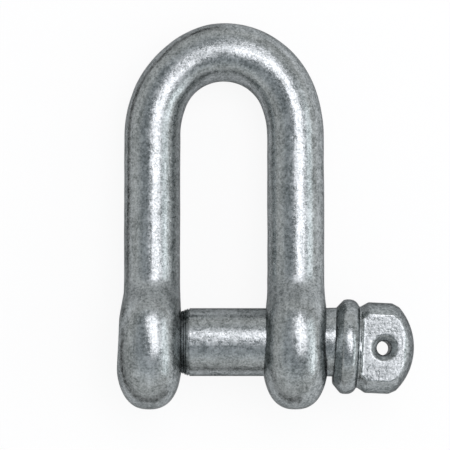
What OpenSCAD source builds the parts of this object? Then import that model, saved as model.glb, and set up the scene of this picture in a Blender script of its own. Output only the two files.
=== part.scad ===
// Chain joining shackle: a forged bow and a screw pin with a collar and a flatted head.
// It lies on its side, as it comes to rest: on both ears and on the crown.
// The origin is on the pin's axis, midway between the legs. X runs along the pin to its head,
// Y towards the crown and Z up.

/* [Bow] */
// Diameter of the round bar that the bow is bent from
stock_d = 16; // [12:0.5:20]
// Clear width between the two legs
inside_w = 24.5; // [20:0.5:34]
// Clear length from the pin to the inside of the crown
inside_l = 64.4; // [50:0.2:90]
// How much tighter the crown is bent than the legs' spacing asks for
crown_tuck = 0.85; // [0.3:0.05:2]
// How much wider the shoulders are bent than the crown
shoulder_gain = 11.5; // [6:0.5:20]

/* [Ears] */
// How much thicker each ear is than the bar, along the pin
ear_gain = 2.3; // [1:0.1:5]
// Metal between the pin's hole and the ear's lower edge
wall_below = 8.9; // [6:0.1:13]
// Metal between the pin's hole and each side of the ear, across the bow's plane
wall_beside = 5.6; // [4.5:0.1:12]
// Metal between the pin's hole and the end of the ear's swelling, up the leg
wall_above = 5.9; // [3.5:0.1:10]
// Distance from the pin's hole to where the leg starts to thicken along the pin
flare_above = 3.6; // [2:0.1:6]
// Size of the hollow where the swelling meets the leg
ear_fillet = 4; // [2:0.5:6]
// How far below the pin an ear is thickest
ear_sag = 3; // [0:0.5:5]
// How far the tapped ear was upset outwards
tapped_shift = 0.6; // [0:0.1:1.5]
// How far the plain ear was upset inwards
plain_shift = 0.2; // [0:0.1:1]

/* [Pin] */
// Diameter of the plain shank
pin_d = 19; // [15:0.5:23]
// How much smaller in diameter the screwed end is than the shank
thread_step = 1; // [0.5:0.1:3]
// Gap between the tapped ear and the shank's shoulder when the pin is screwed home
screw_gap = 0.6; // [0:0.1:2]
// Length of the bevel between the shank and the screwed end
shoulder_bevel = 1.1; // [0.5:0.1:2]
// Bevel on the tip of the screwed end
tip_bevel = 1.4; // [0.5:0.1:2]
// How far the tip stops short of the ear's outer face
tip_inset = 2; // [0.5:0.5:6]
// Radial play of the shank in the plain hole
shank_play = 0.4; // [0.2:0.1:0.8]
// Radial play of the screwed end in the tapped hole
thread_play = 0.1; // [0.05:0.05:0.3]
// Countersink at the mouths of the holes through the ears
mouth_bevel = 1.6; // [0.8:0.1:2]

/* [Collar] */
// How much larger in diameter the collar is than the shank
collar_gain = 7.5; // [5.5:0.5:13]
// Thickness of the collar
collar_t = 6.5; // [6:0.5:9]
// Radius of the collar's rounded rim
collar_round = 2.7; // [1:0.1:3]
// Length of the collar's bevel towards the ear
collar_bevel = 2.6; // [1:0.1:4]
// Gap between the ear and the collar when the pin is screwed home
collar_gap = 1.65; // [1:0.05:4]

/* [Head] */
// Diameter of the head
head_d = 25.4; // [23:0.2:30]
// Length of the head from the groove behind the collar to the top of its dome
head_l = 15.9; // [14:0.1:22]
// Height of the domed end
dome_h = 5.65; // [3:0.05:8]
// Depth of the groove between the collar and the head
groove_depth = 1.5; // [0.5:0.1:3]
// Length of the bevel from the groove up to the head
groove_bevel = 2.6; // [1:0.1:3.5]
// Edge bevel where the head turns into its dome
dome_bevel = 1; // [0.5:0.1:1.5]
// Depth to which each spanner flat is cut into the head
flat_depth = 4; // [2:0.1:6]
// Distance from the groove to the start of the flats
flats_start = 1.1; // [0.8:0.1:4]
// Diameter of the wire hole through the flats
wire_d = 4; // [2:0.5:5]
// Depth of the countersinks of the wire hole
sink_depth = 1.85; // [0.5:0.05:2.5]
// Distance from the groove to the wire hole
wire_x = 7.1; // [6:0.1:9]
// How far the forged head sits off the shank's axis
head_drop = 1.1; // [0:0.1:1.5]
// How far the forged head leans, in degrees
head_lean = 2.6; // [0:0.1:4]
// How far the flats are turned towards the crown from level, in degrees
flats_turn = 3; // [-180:1:180]

/* [Hidden] */
$fn = 96;

// Cuts reach this far past the faces that they cut
past = 1;

// The bow's centre line: two legs, two wide shoulders and a tighter crown
leg_x = (inside_w + stock_d) / 2;
crown_r = leg_x - crown_tuck;
shoulder_r = crown_r + shoulder_gain;
crown_top = pin_d / 2 + inside_l + stock_d / 2;
crown_y = crown_top - crown_r;
shoulder_dx = shoulder_r - leg_x;
shoulder_dy = sqrt(pow(shoulder_gain, 2) - pow(shoulder_dx, 2));
shoulder_y = crown_y - shoulder_dy;
shoulder_turn = atan2(shoulder_dy, shoulder_dx);

// Lengths of bar lap by this much, and a shoulder is thicker by the gain, so that they join cleanly
lap = 0.3;
lap_gain = 0.03;

// The holes through the ears
shank_r = pin_d / 2;
thread_r = (pin_d - thread_step) / 2;
plain_r = shank_r + shank_play;
tapped_r = thread_r + thread_play;

// An ear is a loft of rings round the leg's axis, with flat sides and round rims
stock_r = stock_d / 2;
ear_t = stock_d + ear_gain;
ear_depth = 2 * (plain_r + wall_beside);
ear_rise = plain_r + wall_above;
eye_r = plain_r + wall_below;
ring_points = 40;
rings_below = 10;
rings_above = 12;
rim_power = 2.5;
side_power = 2.5;
flare_power = 1.5;
// The rings are drawn this much larger, so that their flats lie outside the true curve
ring_grow = 1.001 / cos(180 / ring_points);
ear_top = ear_rise * rounded(max(stock_r - ear_fillet, 0) / (ear_depth / 2), side_power);
flare_top = min(plain_r + flare_above, ear_top);

// Lying down, the bow tips until its crown meets the ground that the ears lie on
rest_tilt = asin((ear_depth - stock_d) / 2 / crown_top);

// Places along the pin, which is screwed in until its shoulder is close to the tapped ear
tapped_face = -(leg_x - ear_t / 2 + tapped_shift);
plain_face = leg_x + ear_t / 2 - plain_shift;
shoulder_x = tapped_face + screw_gap;
tip_x = tapped_face - ear_t + tip_inset;
collar_x = plain_face + collar_gap;
collar_d = pin_d + collar_gain;

// The head, measured from the collar's inner face
groove_x = collar_t;
head_r = head_d / 2;
groove_r = head_r - groove_depth;
head_end = groove_x + head_l;
dome_r = (pow(head_r, 2) + pow(dome_h, 2)) / (2 * dome_h);
dome_x = head_end - dome_r;
dome_edge = head_end - dome_h;
flats_w = head_d - 2 * flat_depth;

// Zinc coating, as dipped
module zinc() color([0.55, 0.58, 0.58]) children();

// Larger of two sizes, with a hollow of the given size between them
function smooth_max(a, b, size) = max(a, b) + pow(max(size - abs(a - b), 0), 2) / (4 * size);

// A curve that falls from 1 to 0 as t goes from 0 to 1: a quarter circle when the power is 2
function rounded(t, power) = pow(1 - pow(t, power), 1 / power);

// Share of the ear's swelling that is reached at height y on the leg
function swell(y) = 1 - pow(max(min(y, flare_top) + ear_sag, 0) / (flare_top + ear_sag), flare_power);

// Half thickness of an ear along the pin, at height y
function ear_x(y) =
    y < -ear_sag
    ? ear_t / 2 * rounded((-ear_sag - y) / (eye_r - ear_sag), rim_power)
    : stock_r + (ear_t / 2 - stock_r) * swell(y);

// Half depth of an ear across the bow, at height y
function ear_z(y) =
    y < 0
    ? ear_depth / 2 * rounded(-y / eye_r, 2)
    : smooth_max(stock_r, ear_depth / 2 * rounded(y / ear_rise, side_power), ear_fillet);

// One ring of an ear at height y: a circle at the leg, two half circles with flats between at the pin
function ear_ring(y, shift) =
    let (half_w = ear_x(y), half_d = ear_z(y), rim = min(half_w, half_d))
    [for (i = [0 : ring_points - 1])
        let (turn = 360 * (i + 0.5) / ring_points)
        [
            shift * swell(y) + ring_grow * half_w * cos(turn),
            y,
            sign(sin(turn)) * (half_d - rim) + ring_grow * rim * sin(turn)
        ]];

// One ear on the leg's axis, moved sideways by the given shift
module ear(shift) {
    heights = concat(
        [for (i = [1 : rings_below]) -eye_r * cos(90 * i / rings_below)],
        [for (i = [1 : rings_above]) ear_top * i / rings_above]
    );
    last = len(heights) - 1;
    bottom = [shift, -eye_r, 0];
    points = concat([bottom], [for (y = heights) each ear_ring(y, shift)]);
    function at(ring, i) = 1 + ring * ring_points + i % ring_points;
    faces = concat(
        [for (i = [0 : ring_points - 1]) [0, at(0, i + 1), at(0, i)]],
        [for (k = [0 : last - 1], i = [0 : ring_points - 1]) [at(k, i), at(k + 1, i + 1), at(k + 1, i)]],
        [for (k = [0 : last - 1], i = [0 : ring_points - 1]) [at(k, i), at(k, i + 1), at(k + 1, i + 1)]],
        [[for (i = [0 : ring_points - 1]) at(last, i)]]
    );
    polyhedron(points, faces);
}

// A straight leg, from inside its ear to just inside its shoulder
module leg(side) {
    foot = ear_top / 2;
    translate([side * leg_x, foot, 0])
        rotate([-90, 0, 0])
        cylinder(r = stock_r, h = shoulder_y + lap - foot);
}

// Round bar bent through an angle, which starts at the given angle from X
module bend(bar_r, radius, start, angle) {
    rotate([0, 0, start])
        rotate_extrude(angle = angle)
        translate([radius, 0])
        circle(r = bar_r);
}

// The wide bend that leads a leg into the crown
module shoulder(side) {
    translate([side * (leg_x - shoulder_r), shoulder_y, 0])
        bend(stock_r + lap_gain, shoulder_r, side > 0 ? 0 : 180 - shoulder_turn, shoulder_turn);
}

// The tight bend at the top of the bow, from just inside one shoulder to just inside the other
module crown() {
    start = shoulder_turn - lap / crown_r * 180 / PI;
    translate([0, crown_y, 0])
        bend(stock_r, crown_r, start, 180 - 2 * start);
}

// A hole along the pin through an ear whose outer face lies at the given place
module ear_hole(radius, inner, outer) {
    reach = past * sign(outer);
    translate([min(inner, outer) - past, 0, 0])
        rotate([0, 90, 0])
        cylinder(r = radius, h = abs(outer - inner) + 2 * past);
    translate([outer + reach, 0, 0])
        rotate([0, outer > 0 ? -90 : 90, 0])
        cylinder(r1 = radius + mouth_bevel + past, r2 = radius, h = mouth_bevel + past);
}

// The bow with its plane level
module bow_level() {
    difference() {
        union() {
            crown();
            for (side = [-1, 1]) {
                shoulder(side);
                leg(side);
                translate([side * leg_x, 0, 0])
                    ear(side > 0 ? -plain_shift : -tapped_shift);
            }
        }
        ear_hole(plain_r, plain_face - ear_t, plain_face);
        ear_hole(tapped_r, tapped_face, tapped_face - ear_t);
    }
}

module bow() {
    zinc()
        rotate([-rest_tilt, 0, 0])
        bow_level();
}

// Turns a profile of radius and length round the X axis
module turned() {
    rotate([0, 90, 0])
        rotate_extrude()
        children();
}

// The screwed end, its bevels and the plain shank
module shank() {
    turned()
        polygon([
            [0, tip_x],
            [thread_r - tip_bevel, tip_x],
            [thread_r, tip_x + tip_bevel],
            [thread_r, shoulder_x],
            [shank_r, shoulder_x + shoulder_bevel],
            [shank_r, collar_x + collar_t / 2],
            [0, collar_x + collar_t / 2]
        ]);
}

// The collar with its rounded rim, bevelled towards the ear
module collar() {
    rim = collar_d / 2 - collar_round;
    turned()
        intersection() {
            union() {
                square([rim, collar_t]);
                translate([0, collar_round]) square([collar_d / 2, collar_t - 2 * collar_round]);
                translate([rim, collar_round]) circle(r = collar_round);
                translate([rim, collar_t - collar_round]) circle(r = collar_round);
            }
            polygon([
                [0, 0],
                [rim, 0],
                [collar_d / 2, collar_bevel],
                [collar_d / 2, collar_t],
                [0, collar_t]
            ]);
        }
}

// The round blank of the head: a bevel out of the groove, a cylinder and a dome
module head_blank() {
    turned()
        intersection() {
            polygon([
                [0, collar_t / 2],
                [groove_r, collar_t / 2],
                [groove_r, groove_x],
                [head_r, groove_x + groove_bevel],
                [head_r, dome_edge - dome_bevel],
                [head_r - dome_bevel, dome_edge + dome_bevel],
                [head_r - dome_bevel, head_end + past],
                [0, head_end + past]
            ]);
            translate([0, dome_x]) circle(r = dome_r);
        }
}

// One of the two cuts that leave the spanner flats
module flat_cut() {
    translate([groove_x + flats_start, -head_d, flats_w / 2])
        cube([head_l + past, 2 * head_d, head_d]);
}

// The wire hole across the flats, with a countersink at each end
module wire_hole() {
    translate([groove_x + wire_x, 0, 0]) {
        cylinder(d = wire_d, h = flats_w + 2 * past, center = true);
        for (side = [0, 180])
            rotate([side, 0, 0])
            translate([0, 0, flats_w / 2 - sink_depth])
            cylinder(d1 = wire_d, d2 = wire_d + 2 * (sink_depth + past), h = sink_depth + past);
    }
}

// The head and its collar, off the shank's axis as they were forged
module head() {
    translate([collar_x, -head_drop, 0])
        rotate([0, 0, -head_lean])
        difference() {
            union() {
                collar();
                head_blank();
            }
            flat_cut();
            mirror([0, 0, 1]) flat_cut();
            wire_hole();
        }
}

module pin() {
    zinc()
        rotate([-flats_turn, 0, 0]) {
            shank();
            head();
        }
}

bow();
pin();
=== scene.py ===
# %% [markdown]
# # A galvanised chain shackle
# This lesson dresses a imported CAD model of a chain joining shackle. The real one is two forgings: a bow of
# round bar with thick ears, and a screw pin with a collar and a flatted head. Both were dipped in zinc.
# The CAD solids could simply get a new material, but they show facets and have no thread. So each visible piece
# is drawn again from the same sizes, with a much finer mesh, softer edges and a thread. Lengths are written in
# millimetres and turned into metres.

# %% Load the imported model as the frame
import math

import bmesh
import bpy
import numpy as np
from mathutils import Matrix, Vector, noise


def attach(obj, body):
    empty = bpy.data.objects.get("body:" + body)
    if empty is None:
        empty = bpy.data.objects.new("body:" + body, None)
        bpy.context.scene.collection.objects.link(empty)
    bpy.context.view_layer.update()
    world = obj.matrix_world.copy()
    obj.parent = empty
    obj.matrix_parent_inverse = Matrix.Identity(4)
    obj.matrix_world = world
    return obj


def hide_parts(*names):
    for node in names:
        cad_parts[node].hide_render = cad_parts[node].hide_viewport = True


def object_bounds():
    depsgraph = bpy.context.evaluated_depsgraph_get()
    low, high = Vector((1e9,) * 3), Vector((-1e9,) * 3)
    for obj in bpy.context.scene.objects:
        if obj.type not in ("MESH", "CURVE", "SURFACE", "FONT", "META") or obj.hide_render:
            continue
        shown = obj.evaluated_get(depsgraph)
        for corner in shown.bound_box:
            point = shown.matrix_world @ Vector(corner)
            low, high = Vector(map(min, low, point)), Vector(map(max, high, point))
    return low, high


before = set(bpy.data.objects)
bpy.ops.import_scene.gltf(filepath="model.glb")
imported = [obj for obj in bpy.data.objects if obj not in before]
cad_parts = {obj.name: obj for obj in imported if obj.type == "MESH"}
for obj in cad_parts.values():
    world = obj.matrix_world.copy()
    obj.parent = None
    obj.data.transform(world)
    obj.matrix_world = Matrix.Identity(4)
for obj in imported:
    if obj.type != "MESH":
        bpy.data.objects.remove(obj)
cad_low, cad_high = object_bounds()
MM = 0.001

# %% [markdown]
# ## Sizes
# These are the sizes of the CAD model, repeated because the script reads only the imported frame. They could be
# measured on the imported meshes, but named sizes are easier to follow. The origin is on the pin's axis, midway
# between the legs. X runs along the pin to its head, Y to the crown and Z up.

# %% Sizes of the bow
STOCK_R = 8.0
LEG_X = 20.25
CROWN_R = 19.4
SHOULDER_R = 30.9
CROWN_TOP = 81.9
EAR_T = 18.3
EAR_DEPTH = 31.0
EAR_RISE = 15.8
EYE_R = 18.8
TAPPED_SHIFT = 0.6
PLAIN_SHIFT = 0.2
TAPPED_R = 9.1
PLAIN_R = 9.9
TAPPED_FACE = -(LEG_X - EAR_T / 2 + TAPPED_SHIFT)
PLAIN_FACE = LEG_X + EAR_T / 2 - PLAIN_SHIFT
print("tapped ear's inner face at %.2f mm, plain ear's outer face at %.2f mm" % (TAPPED_FACE, PLAIN_FACE))

# %% Sizes of the pin
SHANK_R = 9.5
SCREW_GAP = 0.6
COLLAR_GAP = 1.65
TIP_INSET = 2.0
SHOULDER_X = TAPPED_FACE + SCREW_GAP
TIP_X = TAPPED_FACE - EAR_T + TIP_INSET
COLLAR_X = PLAIN_FACE + COLLAR_GAP
print("pin from %.2f mm, with its shoulder at %.2f mm and its collar at %.2f mm" % (TIP_X, SHOULDER_X, COLLAR_X))

# %% [markdown]
# ## Camera
# The photo looks straight down from some way off. A camera without perspective would come close, but a long lens
# keeps the little perspective that the photo has. The image is taken to be 450 pixels square, and a millimetre
# at the pin is 3.57 pixels wide.

# %% Camera straight above the shackle
CAMERA_PLACE = (0.35, 32.8, 750.0)
LENS = 214.2
SENSOR = 36.0
FAR_CLIP = 20.0
camera_data = bpy.data.cameras.new("camera")
camera_data.sensor_width = SENSOR
camera_data.lens = LENS
camera_data.clip_end = FAR_CLIP
camera = bpy.data.objects.new("camera", camera_data)
camera.location = Vector(CAMERA_PLACE) * MM
bpy.context.scene.collection.objects.link(camera)
bpy.context.scene.camera = camera
print("camera at", tuple(round(v, 4) for v in camera.location))

# %% [markdown]
# ## Helpers for meshes
# A piece starts as lists of points and faces. Blender's operators could build it too, but they depend on what is
# selected, and plain data doesn't. The first helper makes an object at the origin, with its faces outwards.

# %% Make a piece from points and faces
def face_outwards(mesh):
    work = bmesh.new()
    work.from_mesh(mesh)
    bmesh.ops.recalc_face_normals(work, faces=work.faces)
    if work.calc_volume(signed=True) < 0:
        bmesh.ops.reverse_faces(work, faces=work.faces)
    work.to_mesh(mesh)
    work.free()


def piece_from(name, points, faces):
    mesh = bpy.data.meshes.new(name)
    mesh.from_pydata([tuple(p) for p in points], [], faces)
    face_outwards(mesh)
    piece = bpy.data.objects.new(name, mesh)
    bpy.context.scene.collection.objects.link(piece)
    return piece


print("piece_from makes an object at the origin")

# %% [markdown]
# Modifiers do the cutting, the wearing and the winding. The export wants plain meshes, so `settle` replaces live
# modifiers by the mesh that they give, and `combine` cuts one piece with another and throws the tool away. `shade`
# smooths a piece and keeps the edges that turn by more than an angle, in degrees.

# %% Settle, cut, shade and count
FORGED_EDGE = 40
TURNED_EDGE = 30
NO_EDGE = 180


def settle(piece):
    evaluated = piece.evaluated_get(bpy.context.evaluated_depsgraph_get())
    mesh = bpy.data.meshes.new_from_object(evaluated)
    piece.modifiers.clear()
    old = piece.data
    piece.data = mesh
    bpy.data.meshes.remove(old)
    mesh.name = piece.name


def combine(piece, tool, operation):
    change = piece.modifiers.new("combine", "BOOLEAN")
    change.operation = operation
    change.solver = "MANIFOLD"
    change.object = tool
    settle(piece)
    bpy.data.objects.remove(tool, do_unlink=True)


def shade(piece, degrees):
    piece.data.shade_smooth()
    if degrees < NO_EDGE:
        piece.data.set_sharp_from_angle(angle=math.radians(degrees))


def triangles(piece):
    return sum(len(p.vertices) - 2 for p in piece.data.polygons)


print("settle, combine, shade and triangles work on a piece")

# %% [markdown]
# ## Turned pieces
# The pin was turned on its own axis, and so were the tools that cut the holes. Blender's Screw modifier could do
# it, but a profile of places along X and radii is as short, and it closes the ends at once: the first and last
# radius of zero give a single point.

# %% Turn a profile round the X axis
TURNED_SEGMENTS = 144


def turned(name, profile, segments):
    turns = np.linspace(0, 2 * math.pi, segments, endpoint=False)
    points = [(profile[0][0], 0, 0)]
    for x, radius in profile[1:-1]:
        points += [(x, radius * math.cos(t), radius * math.sin(t)) for t in turns]
    points.append((profile[-1][0], 0, 0))
    last = 1 + (len(profile) - 3) * segments
    faces = []
    for i in range(segments):
        j = (i + 1) % segments
        faces.append((0, 1 + i, 1 + j))
        for a in range(1, last, segments):
            b = a + segments
            faces.append((a + i, b + i, b + j, a + j))
        faces.append((last + j, last + i, len(points) - 1))
    return piece_from(name, np.array(points) * MM, faces)


def finer(profile, step):
    fine = [profile[0]]
    for (x0, r0), (x1, r1) in zip(profile[:-1], profile[1:]):
        count = max(1, round(math.hypot(x1 - x0, r1 - r0) / step))
        shares = [i / count for i in range(1, count + 1)]
        fine += [(x0 + (x1 - x0) * share, r0 + (r1 - r0) * share) for share in shares]
    return fine


print("turned pieces have", TURNED_SEGMENTS, "segments")

# %% [markdown]
# ## The bow's path
# On the real bow a length of bar was upset at both ends and then bent. It could be a curve with a bevel, and the
# ears two more pieces, but then a seam would show where they meet. One loft has no seam: rings from the bottom
# of one ear, up its leg, round the crown and down to the other ear. First come the places of the rings, from the
# middle of the crown down to one ear: a tight arc, a wide one, a straight leg and the ear's round end.

# %% Stations along half a bow
CROWN_Y = CROWN_TOP - CROWN_R
SHOULDER_DX = SHOULDER_R - LEG_X
SHOULDER_DY = math.sqrt((SHOULDER_R - CROWN_R) ** 2 - SHOULDER_DX ** 2)
SHOULDER_Y = CROWN_Y - SHOULDER_DY
SHOULDER_TURN = math.atan2(SHOULDER_DY, SHOULDER_DX)
STATION_STEP = 0.5
EYE_STATIONS = 64


def spaced(first, last, length):
    return np.linspace(first, last, round(length / STATION_STEP), endpoint=False)


def half_stations():
    rows = []
    crown_angle = math.pi / 2 - SHOULDER_TURN
    for turn in spaced(math.pi / 2, SHOULDER_TURN, crown_angle * CROWN_R):
        rows.append((CROWN_R * math.cos(turn), CROWN_Y + CROWN_R * math.sin(turn), turn))
    for turn in spaced(SHOULDER_TURN, 0, SHOULDER_TURN * SHOULDER_R):
        x = LEG_X - SHOULDER_R + SHOULDER_R * math.cos(turn)
        rows.append((x, SHOULDER_Y + SHOULDER_R * math.sin(turn), turn))
    for y in spaced(SHOULDER_Y, 0, SHOULDER_Y):
        rows.append((LEG_X, y, 0.0))
    for turn in np.linspace(0, math.pi / 2, EYE_STATIONS, endpoint=False):
        rows.append((LEG_X, -EYE_R * math.sin(turn), 0.0))
    return np.array(rows)


half = half_stations()
print("half a bow has", len(half), "stations")

# %% [markdown]
# ## The ears
# The bar swells into its ears without an edge. Their width and depth could be drawn by hand, but two rounded
# curves over the height give nearly the same forms as the CAD model. Where the depth starts to grow there would
# be a kink, and `eased` smooths it along the leg.

# %% Rounded curves
EAR_FILLET = 4.0
SIDE_POWER = 2.5


def smooth_max(a, b, size):
    return np.maximum(a, b) + np.maximum(size - np.abs(a - b), 0) ** 2 / (4 * size)


def rounded(t, power):
    return (1 - np.clip(t, 0, 1) ** power) ** (1 / power)


EAR_TOP = EAR_RISE * rounded((STOCK_R - EAR_FILLET) / (EAR_DEPTH / 2), SIDE_POWER)
print("the ears end %.1f mm above the pin's axis" % EAR_TOP)

# %% Width and depth of an ear at each height
EAR_SAG = 3.0
RIM_POWER = 2.5
FLARE_POWER = 1.3
FLARE_ABOVE = 3.6
FLARE_TOP = PLAIN_R + FLARE_ABOVE


def ear_sizes(y):
    swell = 1 - np.clip((y + EAR_SAG) / (FLARE_TOP + EAR_SAG), 0, 1) ** FLARE_POWER
    across = STOCK_R + (EAR_T / 2 - STOCK_R) * swell
    rim = EAR_T / 2 * rounded((-EAR_SAG - y) / (EYE_R - EAR_SAG), RIM_POWER)
    across = np.where(y < -EAR_SAG, rim, across)
    depth = smooth_max(STOCK_R, EAR_DEPTH / 2 * rounded(y / EAR_RISE, SIDE_POWER), EAR_FILLET)
    depth = np.where(y > EAR_TOP, STOCK_R, depth)
    depth = np.where(y < 0, EAR_DEPTH / 2 * rounded(-y / EYE_R, 2), depth)
    return across, depth, swell


print("the bar starts to swell %.1f mm above the pin's axis" % FLARE_TOP)

# %% Smooth the kink
EASE_SPAN = 3


def eased(values, heights, reach):
    out = values.copy()
    for i, y in enumerate(heights):
        if abs(y - EAR_TOP) < EASE_SPAN * reach:
            near = np.exp(-((heights - y) / reach) ** 2)
            out[i] = np.sum(near * values) / np.sum(near)
    return out


print("eased smooths sizes near the height of %.1f mm" % EAR_TOP)

# %% [markdown]
# ## The rings
# Along the legs a ring is a plain circle. At the crown the bar is a little flatter, and its flatter side leans
# outwards, which widens the light's reflection there. The circle could be squeezed afterwards with a lattice, but
# a power on its sine and cosine does it where the ring is made.

# %% Shape of a ring
RING = 112
CREST = 0.3
CREST_LEAN = math.radians(13)


def ring_shape(turn):
    leaning = (np.arange(RING) + 0.5) * 2 * math.pi / RING + CREST_LEAN
    power = 2 / (2 + CREST * np.sin(turn) ** 2)[:, None]
    flat_c = np.sign(np.cos(leaning)) * np.abs(np.cos(leaning)) ** power
    flat_s = np.sign(np.sin(leaning)) * np.abs(np.sin(leaning)) ** power
    c = flat_c * math.cos(CREST_LEAN) + flat_s * math.sin(CREST_LEAN)
    s = flat_s * math.cos(CREST_LEAN) - flat_c * math.sin(CREST_LEAN)
    return c, s


print("a ring has", RING, "points")

# %% [markdown]
# The two halves aren't quite alike: in the photo the left leg is a little slimmer, and the crown is flatter on its
# outer left. Two different lofts would need a seam between them, so these losses are taken off the outer side of
# each ring, and the top of the crown gains a touch.

# %% Sizes and losses of the rings
CROWN_GAIN = 0.06
FLATTENING = 0.8
LEG_LOSS = 0.25
EASE_ACROSS = 1.6
EASE_DEPTH = 2.2
ABOVE_EARS = 60.0
BAND_Y = 14.0
BAND_REACH = 3.2


def ring_sizes():
    _, y, turn = half.T
    on_leg = turn == 0
    heights = np.where(on_leg, y, ABOVE_EARS)
    across, depth, swell = ear_sizes(heights)
    across = np.where(on_leg, eased(across, heights, EASE_ACROSS), STOCK_R)
    depth = np.where(on_leg, eased(depth, heights, EASE_DEPTH), STOCK_R)
    band = np.exp(-((heights - BAND_Y) / BAND_REACH) ** 2)
    return across, depth, np.where(on_leg, swell, 0.0), band


def outer_loss(side, turn, swell):
    loss = -CROWN_GAIN * np.sin(turn) ** 2
    if side < 0:
        loss = loss + FLATTENING * np.sin(2 * turn) ** 2
        loss = loss + LEG_LOSS * (1 - swell) * np.cos(turn) ** 2
    return loss


print("the left leg loses %.2f mm, and the crown's outer left up to %.1f mm" % (LEG_LOSS, FLATTENING))

# %% [markdown]
# Each point of a ring also keeps where it lies along and round the bar, and how near it is to the top of an ear.
# The zinc reads both: its streaks follow the bar round the crown, and it is duller in a band above each ear.

# %% Loft the rings
def half_rings(side):
    x, y, turn = half.T
    across, depth, swell, band = ring_sizes()
    c, s = ring_shape(turn)
    rim = np.minimum(across, depth)
    out = across[:, None] * c - outer_loss(side, turn, swell)[:, None] * np.maximum(c, 0)
    up = np.sign(s) * (depth - rim)[:, None] + rim[:, None] * s
    shift = PLAIN_SHIFT if side > 0 else TAPPED_SHIFT
    px = side * (x[:, None] + out * np.cos(turn)[:, None]) - (shift * swell)[:, None]
    py = y[:, None] + out * np.sin(turn)[:, None]
    along = side * np.concatenate([[0], np.cumsum(np.hypot(np.diff(x), np.diff(y)))])
    along = np.repeat(along[:, None], RING, axis=1)
    points = np.stack([px, py, up], axis=2)
    place = np.stack([STOCK_R * c, STOCK_R * s, along], axis=2)
    return points, place, np.repeat(band[:, None], RING, axis=1)


whole = [np.concatenate([right[::-1], left[1:]]) for right, left in zip(half_rings(1), half_rings(-1))]
rings, places, bands_round_ears = whole
print("bow loft:", rings.shape[0], "rings of", rings.shape[1])

# %% [markdown]
# Faces join each ring to the next, and a point closes each end.

# %% The bow's mesh
def ring_faces(count, around):
    faces = []
    for k in range(count - 1):
        a = 1 + k * around
        b = a + around
        faces += [(a + i, a + (i + 1) % around, b + (i + 1) % around, b + i) for i in range(around)]
    last = 1 + (count - 1) * around
    tip = 1 + count * around
    faces += [(0, 1 + (i + 1) % around, 1 + i) for i in range(around)]
    faces += [(tip, last + i, last + (i + 1) % around) for i in range(around)]
    return faces


right_end = np.array([LEG_X - PLAIN_SHIFT, -EYE_R, 0.0])
left_end = np.array([-LEG_X - TAPPED_SHIFT, -EYE_R, 0.0])
bow_points = np.concatenate([[right_end], rings.reshape(-1, 3), [left_end]])
bow_places = np.concatenate([[places[0, 0]], places.reshape(-1, 3), [places[-1, 0]]])
bow = piece_from("bow_forging", bow_points * MM, ring_faces(len(rings), RING))
print("bow:", triangles(bow), "triangles before its holes")

# %% [markdown]
# A forging is never quite true. A Displace modifier could roughen it, but here the bow's points move by Blender's
# own noise, which gives the same result each time: a slow swell of a tenth of a millimetre and a finer ripple.

# %% The bow's uneven surface
RIPPLES = ((0.1, 17.0), (0.05, 4.5))


def rippled(points, normals):
    moved = points.copy()
    for i, (p, n) in enumerate(zip(points, normals)):
        moved[i] = p + n * sum(size * noise.noise(Vector(p) / length) for size, length in RIPPLES)
    return moved


normals = np.empty(len(bow.data.vertices) * 3)
bow.data.vertex_normals.foreach_get("vector", normals)
forged = rippled(bow_points, normals.reshape(-1, 3))
bow.data.vertices.foreach_set("co", (forged * MM).ravel())
bar_place = bow.data.attributes.new("bar_place", "FLOAT_VECTOR", "POINT")
bar_place.data.foreach_set("vector", (bow_places * MM).ravel())
ear_band = bow.data.attributes.new("ear_band", "FLOAT", "POINT")
ear_band.data.foreach_set("value", np.concatenate([[0.0], bands_round_ears.ravel(), [0.0]]))
bow.data.update()
print("the surface moved by up to %.2f mm" % np.abs(forged - bow_points).max())

# %% [markdown]
# The ears were drilled across after forging. Each hole is cut with a turned tool that is a drill and a
# countersink in one, and the tapped ear has a countersink on its inner face too. A Boolean suits this better
# than holes in the loft, which would break its rings. Then the bow is tipped, because the shackle lies on both
# ears and on its crown.

# %% Drill the ears and lay the bow down
MOUTH_BEVEL = 1.6
INNER_BEVEL = 1.3
INNER_PAST = 1
OUTER_PAST = 2
REST_TILT = math.asin((EAR_DEPTH / 2 - STOCK_R) / CROWN_TOP)


def drill(radius, inner, outer, inner_bevel):
    way = 1 if outer > inner else -1
    profile = [
        (inner - way * INNER_PAST, 0),
        (inner - way * INNER_PAST, radius + inner_bevel + INNER_PAST if inner_bevel else radius),
        (inner + way * inner_bevel, radius),
        (outer - way * MOUTH_BEVEL, radius),
        (outer + way * OUTER_PAST, radius + MOUTH_BEVEL + OUTER_PAST),
        (outer + way * OUTER_PAST, 0),
    ]
    return turned("drill", profile, TURNED_SEGMENTS)


plain_drill = drill(PLAIN_R, PLAIN_FACE - EAR_T, PLAIN_FACE, 0.0)
combine(bow, plain_drill, "DIFFERENCE")
tapping_drill = drill(TAPPED_R, TAPPED_FACE, TAPPED_FACE - EAR_T, INNER_BEVEL)
combine(bow, tapping_drill, "DIFFERENCE")
bow.data.transform(Matrix.Rotation(-REST_TILT, 4, "X"))
shade(bow, FORGED_EDGE)
print("bow:", triangles(bow), "triangles, tipped by %.2f degrees" % math.degrees(REST_TILT))
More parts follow.
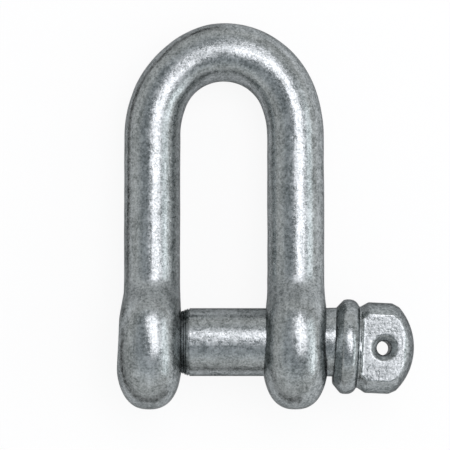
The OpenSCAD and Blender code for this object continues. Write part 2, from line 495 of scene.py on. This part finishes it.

# %% [markdown]
# ## The pin's shank
# The shank is plain bar, turned down at one end for the thread. The lathe left fine steps and grooves between the
# two, which the photo shows as rings beside the left ear. Bump could fake them, but they are cut into the profile,
# so the mesh has them. The bar is a little thicker where it runs into the collar.

# %% Turn the shank
CORE_R = 7.6
TIP_BEVEL = ((0.0, CORE_R - 0.6), (0.5, CORE_R))
STEPS = (
    (-1.5, CORE_R), (-1.45, 8.4), (-0.95, 8.5), (-0.9, 8.2), (-0.75, 8.66),
    (-0.15, 8.86), (-0.08, 8.5), (0.08, 9.0), (0.45, 9.18), (0.52, 8.85),
    (0.68, 9.2), (1.15, 9.4), (1.22, 9.08), (1.38, 9.08), (1.55, SHANK_R),
)
SWELL = ((PLAIN_FACE - 2.0, SHANK_R), (PLAIN_FACE + 0.5, 9.62), (COLLAR_X + 2.5, 9.7))
PROFILE_STEP = 0.6
side_of_shank = [(TIP_X + x, radius) for x, radius in TIP_BEVEL]
side_of_shank += [(SHOULDER_X + x, radius) for x, radius in STEPS]
side_of_shank += SWELL
closed = [(TIP_X, 0)] + finer(side_of_shank, PROFILE_STEP) + [(SWELL[-1][0], 0)]
shank = turned("pin_shank", closed, TURNED_SEGMENTS)
shade(shank, TURNED_EDGE)
print("shank:", triangles(shank), "triangles")

# %% [markdown]
# ## The thread
# A thread is one ridge that winds along the bar. The Screw modifier could wind it, but a Geometry Nodes tree keeps
# its sizes as named inputs: a spiral curve, a profile of four corners and Curve to Mesh. The curve's normals point
# away from the axis, which keeps the ridge upright all the way. A negative ridge height turns the ridge inwards,
# which makes the thread of the tapped ear from the same tree.

# %% Inputs of the thread's tree
PITCH = 2.5
RIDGE = 1.38
USUAL_LENGTH = 15.0
INPUT_SIZES = {"Core Radius": CORE_R, "Ridge Height": RIDGE, "Pitch": PITCH, "Length": USUAL_LENGTH, "Start": 0.0}
thread_tree = bpy.data.node_groups.new("thread_ridge", "GeometryNodeTree")
add_socket = thread_tree.interface.new_socket
for way in ("INPUT", "OUTPUT"):
    add_socket("Geometry", in_out=way, socket_type="NodeSocketGeometry")
identifiers = {}
for label, size in INPUT_SIZES.items():
    socket = add_socket(label, in_out="INPUT", socket_type="NodeSocketFloat")
    socket.default_value = size * MM
    identifiers[label] = socket.identifier
socket = add_socket("Material", in_out="INPUT", socket_type="NodeSocketMaterial")
identifiers["Material"] = socket.identifier
print("thread tree has inputs", list(identifiers))

# %% [markdown]
# Small helpers feed a node's sockets and make math nodes and points. A number goes on the socket itself, and
# anything else is linked to it. The materials use them again later.

# %% Node helpers
def feed(tree, sockets, values):
    for socket, value in zip(sockets, values):
        if isinstance(value, (int, float)):
            socket.default_value = value
        else:
            tree.links.new(value, socket)


def maths(tree, operation, first, second):
    node = tree.nodes.new("ShaderNodeMath")
    node.operation = operation
    feed(tree, node.inputs, (first, second))
    return node.outputs[0]


def corner(tree, x, y):
    node = tree.nodes.new("ShaderNodeCombineXYZ")
    feed(tree, node.inputs, (x, y))
    return node.outputs[0]


print("maths and corner add a node to a tree")

# %% [markdown]
# The spiral's number of turns is its length divided by the pitch. Reverse makes it right-handed, as nearly all
# screws are. The curve's radius fades at both ends, where the real ridge runs out.

# %% The thread's spiral
TURN_POINTS = 72
RUN_OUT = 12.0
LEAST_RADIUS = 0.05
nodes, links = thread_tree.nodes, thread_tree.links
group_in = nodes.new("NodeGroupInput")
core, ridge, pitch, length, start, coating = (group_in.outputs[label] for label in identifiers)
spiral = nodes.new("GeometryNodeCurveSpiral")
spiral.inputs["Resolution"].default_value = TURN_POINTS
spiral.inputs["Reverse"].default_value = True
links.new(maths(thread_tree, "DIVIDE", length, pitch), spiral.inputs["Rotations"])
links.new(core, spiral.inputs["Start Radius"])
links.new(core, spiral.inputs["End Radius"])
links.new(length, spiral.inputs["Height"])
upright = nodes.new("GeometryNodeSetCurveNormal")
upright.mode = "Z_UP"
links.new(spiral.outputs["Curve"], upright.inputs["Curve"])
way_along = nodes.new("GeometryNodeSplineParameter").outputs["Factor"]
from_start = maths(thread_tree, "MULTIPLY", way_along, RUN_OUT)
to_end = maths(thread_tree, "MULTIPLY", maths(thread_tree, "SUBTRACT", 1.0, way_along), RUN_OUT)
fade = maths(thread_tree, "MINIMUM", maths(thread_tree, "MINIMUM", from_start, to_end), 1.0)
fading = nodes.new("GeometryNodeSetCurveRadius")
links.new(upright.outputs["Curve"], fading.inputs["Curve"])
links.new(maths(thread_tree, "MAXIMUM", fade, LEAST_RADIUS), fading.inputs["Radius"])
print("spiral with", TURN_POINTS, "points a turn")

# %% [markdown]
# The ridge's section has a wide foot, sunk a little into the bar so that no gap shows, and a narrow top. It is
# swept along the spiral, laid along X and moved to its start. Realize Instances and Set Material end the tree.

# %% Section of the ridge
FOOT_SUNK = -0.2
FOOT_SHARE = 0.5
TOP_SHARE = 0.08
foot = maths(thread_tree, "MULTIPLY", ridge, FOOT_SUNK)
wide = maths(thread_tree, "MULTIPLY", pitch, FOOT_SHARE)
narrow = maths(thread_tree, "MULTIPLY", pitch, TOP_SHARE)
section = nodes.new("GeometryNodeCurvePrimitiveQuadrilateral")
section.mode = "POINTS"
links.new(corner(thread_tree, foot, maths(thread_tree, "MULTIPLY", wide, -1.0)), section.inputs["Point 1"])
links.new(corner(thread_tree, ridge, maths(thread_tree, "MULTIPLY", narrow, -1.0)), section.inputs["Point 2"])
links.new(corner(thread_tree, ridge, narrow), section.inputs["Point 3"])
links.new(corner(thread_tree, foot, wide), section.inputs["Point 4"])
print("the ridge's foot is", FOOT_SHARE * 2 * PITCH, "mm wide")

# %% Sweep the ridge along the spiral
sweep = nodes.new("GeometryNodeCurveToMesh")
sweep.inputs["Fill Caps"].default_value = True
links.new(fading.outputs["Curve"], sweep.inputs["Curve"])
links.new(section.outputs["Curve"], sweep.inputs["Profile Curve"])
links.new(nodes.new("GeometryNodeInputRadius").outputs[0], sweep.inputs["Scale"])
lay_down = nodes.new("GeometryNodeTransform")
lay_down.inputs["Rotation"].default_value = (0.0, math.pi / 2, 0.0)
links.new(sweep.outputs["Mesh"], lay_down.inputs["Geometry"])
links.new(corner(thread_tree, start, 0.0), lay_down.inputs["Translation"])
realize = nodes.new("GeometryNodeRealizeInstances")
links.new(lay_down.outputs["Geometry"], realize.inputs["Geometry"])
coat = nodes.new("GeometryNodeSetMaterial")
links.new(realize.outputs["Geometry"], coat.inputs["Geometry"])
links.new(coating, coat.inputs["Material"])
links.new(coat.outputs["Geometry"], nodes.new("NodeGroupOutput").inputs[0])
print("thread tree has", len(nodes), "nodes")

# %% [markdown]
# ## Zinc
# Hot-dip zinc dulls to a grey that is slightly green, with blotches a few millimetres wide, small crystals, a fine
# grain and faint streaks along the bar. A photo of zinc could be wrapped round the pieces, but noise at those sizes
# has no seams and needs no file. These helpers make a noise and map it to a range.

# %% Noise
NOISE_ROUGHNESS = 0.6


def patches(tree, source, scale, detail):
    node = tree.nodes.new("ShaderNodeTexNoise")
    node.inputs["Scale"].default_value = scale
    node.inputs["Detail"].default_value = detail
    node.inputs["Roughness"].default_value = NOISE_ROUGHNESS
    tree.links.new(source, node.inputs["Vector"])
    return node.outputs[0]


def stretched(tree, source, scale):
    node = tree.nodes.new("ShaderNodeMapping")
    node.inputs["Scale"].default_value = scale
    tree.links.new(source, node.inputs["Vector"])
    return node.outputs["Vector"]


print("patches and stretched make noise, of roughness", NOISE_ROUGHNESS)

# %% Ranges and sums
NOISE_MIDDLE = (0.35, 0.65)
WHOLE = (0.0, 1.0)


def spread(tree, value, seen, wanted):
    node = tree.nodes.new("ShaderNodeMapRange")
    for label, number in zip(("From Min", "From Max", "To Min", "To Max"), (*seen, *wanted)):
        node.inputs[label].default_value = number
    tree.links.new(value, node.inputs["Value"])
    return node.outputs["Result"]


def total(tree, values):
    result = values[0]
    for value in values[1:]:
        result = maths(tree, "ADD", result, value)
    return result


print("noise between", NOISE_MIDDLE, "is what counts")

# %% [markdown]
# The patterns read the object's own coordinates. Only the bow's streaks read the place along the bar, because
# straight streaks would cut across the crown. On the pin they run along X.

# %% Patterns of the zinc
PATCH_SIZES = {"grain": (1900.0, 3.0), "specks": (900.0, 3.0), "blotches": (210.0, 5.0)}
BAR_STREAKS = (800.0, 800.0, 110.0)
PIN_STREAKS = (140.0, 800.0, 800.0)
STREAK_DETAIL = 3.0


def attribute(tree, label, output):
    node = tree.nodes.new("ShaderNodeAttribute")
    node.attribute_name = label
    return node.outputs[output]


def zinc_patterns(tree, where, on_bow):
    if on_bow:
        along = stretched(tree, attribute(tree, "bar_place", "Vector"), BAR_STREAKS)
    else:
        along = stretched(tree, where, PIN_STREAKS)
    found = {label: patches(tree, where, *size) for label, size in PATCH_SIZES.items()}
    found["streaks"] = patches(tree, along, 1.0, STREAK_DETAIL)
    return found


print("zinc patterns:", list(PATCH_SIZES), "and streaks")

# %% [markdown]
# All patterns add up to one tone, which a ramp turns into a colour between dark and light zinc. The crystals of
# the zinc, called spangle, are the cells of a cell texture, with a tone each.

# %% Colour of the zinc
ZINC_DARK = (0.16, 0.177, 0.176, 1.0)
ZINC_LIGHT = (0.57, 0.602, 0.607, 1.0)
TONES = {"blotches": (0.19, 0.4), "grain": (-0.26, 0.32), "specks": (-0.12, 0.2), "streaks": (-0.05, 0.2)}
SPANGLE_SCALE = 430.0
SPANGLE_TONE = (-0.09, 0.11)


def zinc_colour(tree, where, patterns):
    spangle = tree.nodes.new("ShaderNodeTexVoronoi")
    spangle.inputs["Scale"].default_value = SPANGLE_SCALE
    tree.links.new(where, spangle.inputs["Vector"])
    flake = tree.nodes.new("ShaderNodeSeparateColor")
    tree.links.new(spangle.outputs["Color"], flake.inputs[0])
    tones = [spread(tree, patterns[label], NOISE_MIDDLE, tone) for label, tone in TONES.items()]
    tones.append(spread(tree, flake.outputs[0], WHOLE, SPANGLE_TONE))
    ramp = tree.nodes.new("ShaderNodeValToRGB")
    ramp.color_ramp.elements[0].color = ZINC_DARK
    ramp.color_ramp.elements[1].color = ZINC_LIGHT
    tree.links.new(total(tree, tones), ramp.inputs["Fac"])
    return ramp.outputs["Color"]


print("zinc from", ZINC_DARK[:3], "to", ZINC_LIGHT[:3])

# %% [markdown]
# Blotches and specks also change the gloss, and the band above each ear is duller, where the bar was upset. The
# same patterns make a bump of about a tenth of a millimetre, so dents, tones and gloss belong together.

# %% Gloss and bump of the zinc
SHINE = 0.28
BLOTCH_SHINE = 0.05
SPECK_SHINE = (-0.06, 0.06)
EAR_DULLING = (0.0, 0.22)
BUMPS = {"grain": 0.12, "specks": 0.42, "blotches": 1.0, "streaks": 0.5}
BUMP_HEIGHT = 0.1


def zinc_roughness(tree, patterns, on_bow):
    blotch_range = (SHINE - BLOTCH_SHINE, SHINE + BLOTCH_SHINE)
    parts = [spread(tree, patterns["blotches"], NOISE_MIDDLE, blotch_range)]
    parts.append(spread(tree, patterns["specks"], NOISE_MIDDLE, SPECK_SHINE))
    if on_bow:
        parts.append(spread(tree, attribute(tree, "ear_band", "Fac"), WHOLE, EAR_DULLING))
    return total(tree, parts)


def zinc_bump(tree, patterns):
    heights = [spread(tree, patterns[label], WHOLE, (0.0, size)) for label, size in BUMPS.items()]
    bump = tree.nodes.new("ShaderNodeBump")
    bump.inputs["Strength"].default_value = 1.0
    bump.inputs["Distance"].default_value = BUMP_HEIGHT * MM
    tree.links.new(total(tree, heights), bump.inputs["Height"])
    return bump.outputs["Normal"]


print("zinc bump of", BUMP_HEIGHT, "mm, roughness about", SHINE)

# %% [markdown]
# The shader is a metal. Its specular tint sets how bright the zinc is at the rim, where it is seen edge-on: dull
# zinc loses its mirror there, and the pin a little more than the bow.

# %% The two finishes
BOW_RIM = 0.42
PIN_RIM = 0.28


def zinc(name, rim, on_bow):
    finish = bpy.data.materials.new(name)
    finish.use_nodes = True
    tree = finish.node_tree
    shader = tree.nodes["Principled BSDF"]
    shader.inputs["Metallic"].default_value = 1.0
    shader.inputs["Specular Tint"].default_value = (rim, rim, rim, 1.0)
    where = tree.nodes.new("ShaderNodeTexCoord").outputs["Object"]
    patterns = zinc_patterns(tree, where, on_bow)
    tree.links.new(zinc_colour(tree, where, patterns), shader.inputs["Base Color"])
    tree.links.new(zinc_roughness(tree, patterns, on_bow), shader.inputs["Roughness"])
    tree.links.new(zinc_bump(tree, patterns), shader.inputs["Normal"])
    return finish


bow_zinc = zinc("bow_zinc", BOW_RIM, True)
pin_zinc = zinc("pin_zinc", PIN_RIM, False)
print("finishes:", bow_zinc.name, pin_zinc.name)

# %% [markdown]
# With the zinc made, both threads can take it. A modifier's inputs are set by the identifier of each socket,
# and the evaluated mesh then stands alone. The ear's thread starts half a pitch away from the pin's, so that
# their ridges lie between each other, as in any screw that is done up.

# %% Wind the threads of the pin and of the tapped ear
EAR_RIDGE = 1.05
THREAD_START = TIP_X + 0.6
THREAD_END = SHOULDER_X - 1.8
EAR_THREAD_END = TAPPED_FACE - 1.4


def wound(name, radius, ridge_height, first, last, finish):
    piece = bpy.data.objects.new(name, bpy.data.meshes.new(name))
    bpy.context.scene.collection.objects.link(piece)
    winding = piece.modifiers.new("winding", "NODES")
    winding.node_group = thread_tree
    for label, size in zip(INPUT_SIZES, (radius, ridge_height, PITCH, last - first, first)):
        winding[identifiers[label]] = size * MM
    winding[identifiers["Material"]] = finish
    settle(piece)
    face_outwards(piece.data)
    shade(piece, TURNED_EDGE)
    print(name, triangles(piece), "triangles")
    return piece


thread = wound("pin_thread", CORE_R, RIDGE, THREAD_START, THREAD_END, pin_zinc)
ear_thread = wound("ear_thread", TAPPED_R, -EAR_RIDGE, THREAD_START - PITCH / 2, EAR_THREAD_END, bow_zinc)

# %% [markdown]
# ## The pin's head
# The collar and head were forged in one with the shank: a collar with a bevel and a round rim, a neck, a round head
# and a low dome. They could be part of the shank's profile, but they get cuts and worn edges, so they are a piece
# of their own. The blank is turned first.

# %% Turn the collar and the head
HEAD_R = 12.7
HEAD_END = 22.4
DOME_R = 17.1
DOME_EDGE = 1.0
DOME_INNERMOST = 0.05
DOME_ROWS = 14
COLLAR_R = 13.25
COLLAR_ROUND = 2.7
COLLAR_BEVEL = ((0.0, 0.0), (1.3, 1.5), (2.0, 2.25))
COLLAR_ARCS = ((3.3, -0.4, 0.0, 4), (4.0, 0.0, 1.25, 10))
NECK_AND_HEAD = ((6.7, 11.2), (9.1, HEAD_R), (15.75, HEAD_R))
HEAD_SEGMENTS = 160


def head_profile():
    rim = COLLAR_R - COLLAR_ROUND
    rows = [(0.0, 0)] + [(x, rim + gain) for x, gain in COLLAR_BEVEL]
    for x, first, last, count in COLLAR_ARCS:
        turns = np.linspace(first, last, count)
        rows += [(x + COLLAR_ROUND * math.sin(t), rim + COLLAR_ROUND * math.cos(t)) for t in turns]
    rows += NECK_AND_HEAD
    turns = np.linspace(math.asin((HEAD_R - DOME_EDGE) / DOME_R), DOME_INNERMOST, DOME_ROWS)
    rows += [(HEAD_END - DOME_R + DOME_R * math.cos(t), DOME_R * math.sin(t)) for t in turns]
    rows.append((HEAD_END, 0))
    return rows


head = turned("pin_head", head_profile(), HEAD_SEGMENTS)
print("head blank:", triangles(head), "triangles")

# %% [markdown]
# Two flats for a spanner are cut on the head, and use has worn their outer ends. A hole for a mousing wire runs
# through both, countersunk on each side. Moving the blank's points would give ragged edges, so plain blocks and a
# turned tool cut them.

# %% Cut the flats and their worn ends
FLAT_Z = 8.7
FLATS_X = 7.6
WORN_X = 19.2
WORN_SLOPE = math.radians(35)
CUT_REACH = 20.0
CUT_END = 30.0
WORN_CUT = (-3.0, 10.0)


def block(low, high):
    corners = [(x, y, z) for x in (low[0], high[0]) for y in (low[1], high[1]) for z in (low[2], high[2])]
    faces = [(0, 1, 3, 2), (4, 6, 7, 5), (0, 4, 5, 1), (2, 3, 7, 6), (0, 2, 6, 4), (1, 5, 7, 3)]
    return piece_from("block", np.array(corners) * MM, faces)


for side in (1, -1):
    low, high = sorted((side * FLAT_Z, side * CUT_REACH))
    combine(head, block((FLATS_X, -CUT_REACH, low), (CUT_END, CUT_REACH, high)), "DIFFERENCE")
    low, high = sorted((0.0, side * WORN_CUT[1]))
    worn = block((WORN_CUT[0], -CUT_REACH, low), (WORN_CUT[1], CUT_REACH, high))
    worn_place = Matrix.Translation(Vector((WORN_X, 0, side * FLAT_Z)) * MM)
    worn.data.transform(worn_place @ Matrix.Rotation(side * WORN_SLOPE, 4, "Y"))
    combine(head, worn, "DIFFERENCE")
print("head with flats:", triangles(head), "triangles")

# %% Drill and countersink the wire hole
HOLE_X = 13.6
HOLE_TOOL = ((-12, 0), (-12, 7.05), (-7.1, 2.0), (7.1, 2.0), (12, 7.05), (12, 0))
HOLE_SEGMENTS = 96
hole = turned("hole", HOLE_TOOL, HOLE_SEGMENTS)
hole.data.transform(Matrix.Translation((HOLE_X * MM, 0, 0)) @ Matrix.Rotation(math.pi / 2, 4, "Y"))
combine(head, hole, "DIFFERENCE")
print("head with its hole:", triangles(head), "triangles")

# %% [markdown]
# No edge is sharp after a dip in zinc. A Bevel modifier can fail on the small faces that cuts leave, so a fine
# voxel remesh with some smoothing wears all edges down alike. The head was forged a little askew on its shank, and
# it came to rest with its flats turned by a few degrees.

# %% Wear the edges down and set the head on its shank
VOXEL = 0.22
SMOOTHING = 0.5
SMOOTH_ROUNDS = 3
HEAD_DROP = 1.1
HEAD_LEAN = math.radians(2.6)
FLATS_TURN = math.radians(3.0)
remesh = head.modifiers.new("remesh", "REMESH")
remesh.mode = "VOXEL"
remesh.voxel_size = VOXEL * MM
smooth = head.modifiers.new("smooth", "SMOOTH")
smooth.factor = SMOOTHING
smooth.iterations = SMOOTH_ROUNDS
settle(head)
askew = Matrix.Translation((COLLAR_X * MM, -HEAD_DROP * MM, 0)) @ Matrix.Rotation(-HEAD_LEAN, 4, "Z")
head.data.transform(askew)
head.data.transform(Matrix.Rotation(-FLATS_TURN, 4, "X"))
shade(head, NO_EDGE)
print("head:", triangles(head), "triangles")

# %% [markdown]
# ## Floor
# The shackle lies on plain white paper. More light would make the floor white too, but it would burn out the zinc.
# So the camera sees a floor that glows white by itself, mixed with a matte one that still shows the shadow, and
# reflections see a little of that glow.

# %% White of the floor
FLOOR_GREY = 0.96
SEEN_GLOW = 0.9
MIRRORED_GLOW = 0.2
floor_material = bpy.data.materials.new("pale_floor")
floor_material.use_nodes = True
floor_tree = floor_material.node_tree
floor_tree.nodes.clear()
matte = floor_tree.nodes.new("ShaderNodeBsdfDiffuse")
matte.inputs["Color"].default_value = (FLOOR_GREY, FLOOR_GREY, FLOOR_GREY, 1.0)
glow = floor_tree.nodes.new("ShaderNodeEmission")
glow.inputs["Color"].default_value = (1.0, 1.0, 1.0, 1.0)
ray = floor_tree.nodes.new("ShaderNodeLightPath").outputs
mirrored = maths(floor_tree, "MAXIMUM", ray["Is Glossy Ray"], ray["Is Transmission Ray"])
seen_share = maths(floor_tree, "MULTIPLY", ray["Is Camera Ray"], SEEN_GLOW)
share = maths(floor_tree, "MAXIMUM", seen_share, maths(floor_tree, "MULTIPLY", mirrored, MIRRORED_GLOW))
both = floor_tree.nodes.new("ShaderNodeMixShader")
feed(floor_tree, both.inputs, (share, matte.outputs[0], glow.outputs[0]))
floor_out = floor_tree.nodes.new("ShaderNodeOutputMaterial")
floor_tree.links.new(both.outputs[0], floor_out.inputs["Surface"])
print("floor material has", len(floor_tree.nodes), "nodes")

# %% Lay the floor
FLOOR_HALF = 3
floor_z = cad_low[2]
floor_corners = [(x * FLOOR_HALF, y * FLOOR_HALF, floor_z) for x, y in ((-1, -1), (1, -1), (1, 1), (-1, 1))]
floor = piece_from("floor", floor_corners, [(0, 1, 2, 3)])
floor.data.materials.append(floor_material)
print("floor at", round(floor_z, 5))

# %% [markdown]
# ## Flags
# A photographer stands dark cards, called flags, round a shiny object, because round metal on white paper would
# lose its edges. The dark lines could be painted on the zinc, but they would stay there in every other light.
# Each card is not lit but glows by itself, and its tone is painted by height. It is a painted shade, darkest in the
# middle, that fades up and down to a painted pale light, which keeps the dark line mirrored in the zinc soft.

# %% Painted glow and shade of a card
DARK_FROM = 0.21
DARK_TO = 0.56
CARD_FOOT = 0.85
CARD_RIM = 0.66


def set_stops(ramp, stops):
    elements = ramp.color_ramp.elements
    elements.remove(elements[1])
    for place, colour in stops:
        elements.new(place).color = (*colour, 1.0)
    elements.remove(elements[0])


def card_shade(name, top, darkest):
    material = bpy.data.materials.new(name)
    material.use_nodes = True
    tree = material.node_tree
    tree.nodes.clear()
    place = tree.nodes.new("ShaderNodeTexCoord")
    split = tree.nodes.new("ShaderNodeSeparateXYZ")
    tree.links.new(place.outputs["Object"], split.inputs[0])
    ramp = tree.nodes.new("ShaderNodeValToRGB")
    levels = ((0.0, CARD_FOOT), (DARK_FROM, darkest), (DARK_TO, darkest), (1.0, CARD_RIM))
    set_stops(ramp, [(spot, (level, level, level)) for spot, level in levels])
    tree.links.new(spread(tree, split.outputs["Z"], (floor_z, top * MM), WHOLE), ramp.inputs["Fac"])
    # The card's colour is an Emission glow, not lit: painted shade in the middle of its height, painted pale light
    # at its foot and top.
    face = tree.nodes.new("ShaderNodeEmission")
    tree.links.new(ramp.outputs["Color"], face.inputs["Color"])
    out = tree.nodes.new("ShaderNodeOutputMaterial")
    tree.links.new(face.outputs[0], out.inputs["Surface"])
    return material


print("a card is darkest from", DARK_FROM, "to", DARK_TO, "of its height")

# %% [markdown]
# One tall card stands beside the tapped ear, a low one follows the bow's left side and crown, and one stands in
# front. Only reflections see them: they cast no shadow, and the camera looks past them, so they may stand closer
# than real cards could.

# %% Cards beside the ear, beside the bow and in front
FLAGS = (
    ("ear_flag", ((-71, -70), (-71, 12)), 9.0, 0.03),
    ("bow_flag", ((-48, 12), (-48, 60), (-36, 100), (0, 112)), -3.0, 0.0),
    ("front_flag", ((-71, -62), (34, -62)), 9.0, 0.12),
)


def flag(name, path, top, darkest):
    low = [(x * MM, y * MM, floor_z) for x, y in path]
    high = [(x * MM, y * MM, top * MM) for x, y in path]
    count = len(path)
    faces = [(i, i + 1, count + i + 1, count + i) for i in range(count - 1)]
    card = piece_from(name, low + high, faces)
    card.data.materials.append(card_shade(name + "_card", top, darkest))
    card.visible_camera = False
    card.visible_diffuse = False
    card.visible_shadow = False


for card_sizes in FLAGS:
    flag(*card_sizes)
print("flags:", [card_sizes[0] for card_sizes in FLAGS])

# %% [markdown]
# ## Light
# Half of the photo's look is what the zinc mirrors. A picture of a studio could light it, but the real set is
# simple: a room that is pale near the horizon and grey overhead, which is a ramp over the height.

# %% The room
ROOM = (
    (0.0, (0.66, 0.66, 0.66)),
    (0.3, (0.76, 0.76, 0.76)),
    (0.52, (0.73, 0.74, 0.75)),
    (0.75, (0.44, 0.47, 0.5)),
    (1.0, (0.39, 0.42, 0.45)),
)
world = bpy.data.worlds.new("studio")
bpy.context.scene.world = world
world.use_nodes = True
room = world.node_tree
sky = room.nodes["Background"]
direction = room.nodes.new("ShaderNodeTexCoord")
split = room.nodes.new("ShaderNodeSeparateXYZ")
room.links.new(direction.outputs["Generated"], split.inputs[0])
bands = room.nodes.new("ShaderNodeValToRGB")
room.links.new(split.outputs["Z"], bands.inputs["Fac"])
set_stops(bands, ROOM)
room.links.new(bands.outputs["Color"], sky.inputs["Color"])
sky.inputs["Strength"].default_value = 1.0
print("room with", len(ROOM), "levels")

# %% [markdown]
# Three soft lights stand in the room. A large one, up and to the right of the camera, draws the bright stripes
# along the bar. A bluish one low on the right draws the fainter stripes beside them, and a weak one stands in
# front. A light's level is the brightness of its face, so its power grows with its area.

# %% Soft lights
AIM = Vector((0, 0.03, 0))
LIGHTS = (
    ("key_light", (0.275, 0.285, 0.92), (0.52, 0.94), 2.95, (1.0, 0.95, 0.985), math.radians(26)),
    ("side_light", (0.82, -0.08, 0.48), (0.36, 1.1), 1.55, (0.94, 0.985, 1.02), 0.0),
    ("front_light", (-0.1, -0.68, 0.68), (1.3, 0.4), 0.25, (0.97, 0.98, 1.0), 0.0),
)


def softbox(name, place, size, level, tint, roll):
    width, height = size
    lamp_data = bpy.data.lights.new(name, "AREA")
    lamp_data.shape = "RECTANGLE"
    lamp_data.size = width
    lamp_data.size_y = height
    lamp_data.energy = level * math.pi * width * height
    lamp_data.color = tint
    lamp = bpy.data.objects.new(name, lamp_data)
    back = (Vector(place) - AIM).normalized()
    sideways = Vector((math.cos(roll), math.sin(roll), 0))
    sideways = (sideways - back * sideways.dot(back)).normalized()
    turn = Matrix((sideways, back.cross(sideways), back)).transposed()
    lamp.matrix_world = Matrix.Translation(place) @ turn.to_4x4()
    bpy.context.scene.collection.objects.link(lamp)


for light in LIGHTS:
    softbox(*light)

# %% [markdown]
# ## Bodies and finishes
# Each piece rides on the body that it belongs to and takes its zinc as its only material. The CAD parts bow and
# pin are hidden, and the dressed pieces take their place. The box of the CAD model is printed.

# %% Finish
DRESSED = (
    (bow, "bow", bow_zinc),
    (ear_thread, "bow", bow_zinc),
    (shank, "pin", pin_zinc),
    (thread, "pin", pin_zinc),
    (head, "pin", pin_zinc),
)
for piece, body, zinc_coat in DRESSED:
    piece.data.materials.clear()
    piece.data.materials.append(zinc_coat)
    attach(piece, body)
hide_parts("bow")
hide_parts("pin")
bpy.context.scene.view_settings.view_transform = "Standard"
print("cad box", cad_low, cad_high)
